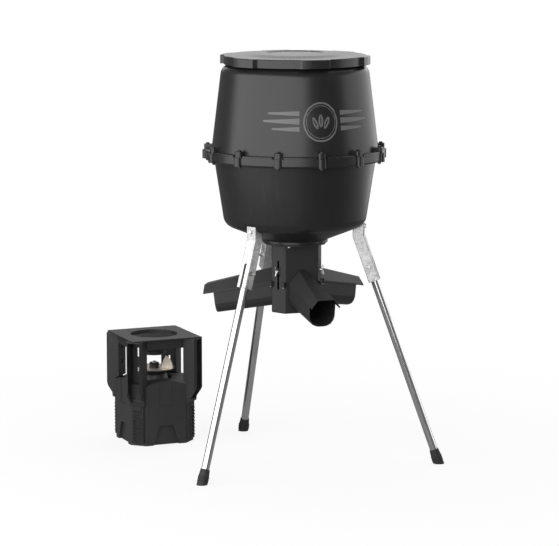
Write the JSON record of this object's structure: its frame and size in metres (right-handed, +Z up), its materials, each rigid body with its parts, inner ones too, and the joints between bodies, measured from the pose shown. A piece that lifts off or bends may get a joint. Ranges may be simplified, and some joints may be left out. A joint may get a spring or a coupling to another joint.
{
  "type": "spin cast game feeder",
  "caption": "Tripod game feeder: two-piece drum hopper with drop-on lid and chute gravity head, beside its battery-driven spin cast unit.",
  "frame": {"origin": "on the ground under the middle of the whole footprint", "axes": "+Z up; the spin cast unit's square sides lie along X and Y, its service door on its +Y side"},
  "size_m": [0.9102, 0.9554, 1.4004],
  "materials": {
    "black_plastic": "satin black polyethylene with a fine moulded texture",
    "caster_plastic": "fine-textured black nylon",
    "plate_steel": "black powder coat",
    "pad_rubber": "black moulded rubber",
    "seal_foam": "closed-cell black foam",
    "galvanised_steel": "hot-dip galvanised, with a mottled spangle",
    "bright_zinc_tube": "bright zinc-plated tube",
    "zinc_fasteners": "zinc-plated steel",
    "spinner_metal": "zinc-plated sheet with a warm passivated tint",
    "hub_plastic": "black moulded hub",
    "motor_can": "drawn steel can",
    "battery_case": "dark grey ABS case",
    "terminal_brass": "tinned brass tab",
    "board": "green solder mask",
    "display_window": "grey-green display window",
    "key_rubber": "moulded key",
    "switch_plastic": "gloss black rocker",
    "lead_cover": "red insulated wire"
  },
  "bodies": {
    "feeder": {"head_tube": "black_plastic", "head_bowl": "black_plastic", "chute_hoods": "black_plastic", "chute_troughs": "black_plastic", "hopper_upper": "black_plastic", "hopper_lower": "black_plastic", "diverter_cone": "black_plastic", "flange_bolts": "zinc_fasteners", "bracket_bolts": "zinc_fasteners", "leg_bolts": "zinc_fasteners", "head_screws": "zinc_fasteners", "head_bolts": "zinc_fasteners", "leg_bracket_right": "galvanised_steel", "leg_right": "bright_zinc_tube", "foot_right": "pad_rubber", "leg_bracket_rear": "galvanised_steel", "leg_rear": "bright_zinc_tube", "foot_rear": "pad_rubber", "leg_bracket_left": "galvanised_steel", "leg_left": "bright_zinc_tube", "foot_left": "pad_rubber"},
    "caster": {"throat_funnel": "caster_plastic", "base_shell": "caster_plastic", "base_plate": "caster_plastic", "motor_tower": "caster_plastic", "control_case": "caster_plastic", "post_back_right": "caster_plastic", "post_back_left": "caster_plastic", "post_front_left": "caster_plastic", "post_front_right": "caster_plastic", "top_plate": "plate_steel", "corner_pad_back_right": "pad_rubber", "corner_pad_back_left": "pad_rubber", "corner_pad_front_left": "pad_rubber", "corner_pad_front_right": "pad_rubber", "cage_screws": "zinc_fasteners", "base_screws": "zinc_fasteners", "door_hinge_pin": "zinc_fasteners", "motor": "motor_can", "battery": "battery_case", "battery_terminals": "terminal_brass", "circuit_board": "board", "display": "display_window", "battery_lead": "lead_cover", "motor_lead": "lead_cover"},
    "lid": {"lid": "black_plastic", "lid_seal": "seal_foam"},
    "flow_control": {"flow_sleeve": "black_plastic", "flow_wing_nuts": "zinc_fasteners"},
    "spinner": {"spinner_plate": "spinner_metal", "spinner_vanes": "spinner_metal", "spinner_hub": "hub_plastic", "hub_nut": "zinc_fasteners", "motor_shaft": "zinc_fasteners"},
    "door": {"door": "caster_plastic"},
    "latch": {"door_latch": "caster_plastic"},
    "key_set": {"button_set": "key_rubber"},
    "key_down": {"button_down": "key_rubber"},
    "key_up": {"button_up": "key_rubber"},
    "rocker": {"power_switch": "switch_plastic"}
  },
  "joints": [
    {"name": "lid_lift", "type": "slide", "parent": "feeder", "child": "lid", "axis": [0, 0, 1], "range_m": [0, 0.15]},
    {"name": "flow_adjust", "type": "slide", "parent": "feeder", "child": "flow_control", "axis": [0, 0, 1], "range_m": [-0.02, 0.024]},
    {"name": "caster_lift", "type": "slide", "parent": "feeder", "child": "caster", "axis": [0, 0, 1], "range_m": [0, 0.3]},
    {"name": "spinner_spin", "type": "hinge", "parent": "caster", "child": "spinner", "pos_m": [-0.31513, 0.33774, 0.255], "axis": [0, 0, 1], "continuous": true},
    {"name": "door_swing", "type": "hinge", "parent": "caster", "child": "door", "pos_m": [-0.37913, 0.46074, 0.079], "axis": [0, 0, 1], "range_deg": [0, 110]},
    {"name": "latch_turn", "type": "hinge", "parent": "door", "child": "latch", "pos_m": [-0.27113, 0.45774, 0.079], "axis": [0, 1, 0], "range_deg": [0, 90]},
    {"name": "power_rock", "type": "hinge", "parent": "caster", "child": "rocker", "pos_m": [-0.28813, 0.43924, 0.096], "axis": [1, 0, 0], "range_deg": [0, 18]},
    {"name": "press_set", "type": "slide", "parent": "caster", "child": "key_set", "axis": [0, -1, 0], "range_m": [0, 0.0015], "stiffness_N_per_m": 600, "springref_m": -0.0005},
    {"name": "press_down", "type": "slide", "parent": "caster", "child": "key_down", "axis": [0, -1, 0], "range_m": [0, 0.0015], "stiffness_N_per_m": 600, "springref_m": -0.0005},
    {"name": "press_up", "type": "slide", "parent": "caster", "child": "key_up", "axis": [0, -1, 0], "range_m": [0, 0.0015], "stiffness_N_per_m": 600, "springref_m": -0.0005}
  ]
}
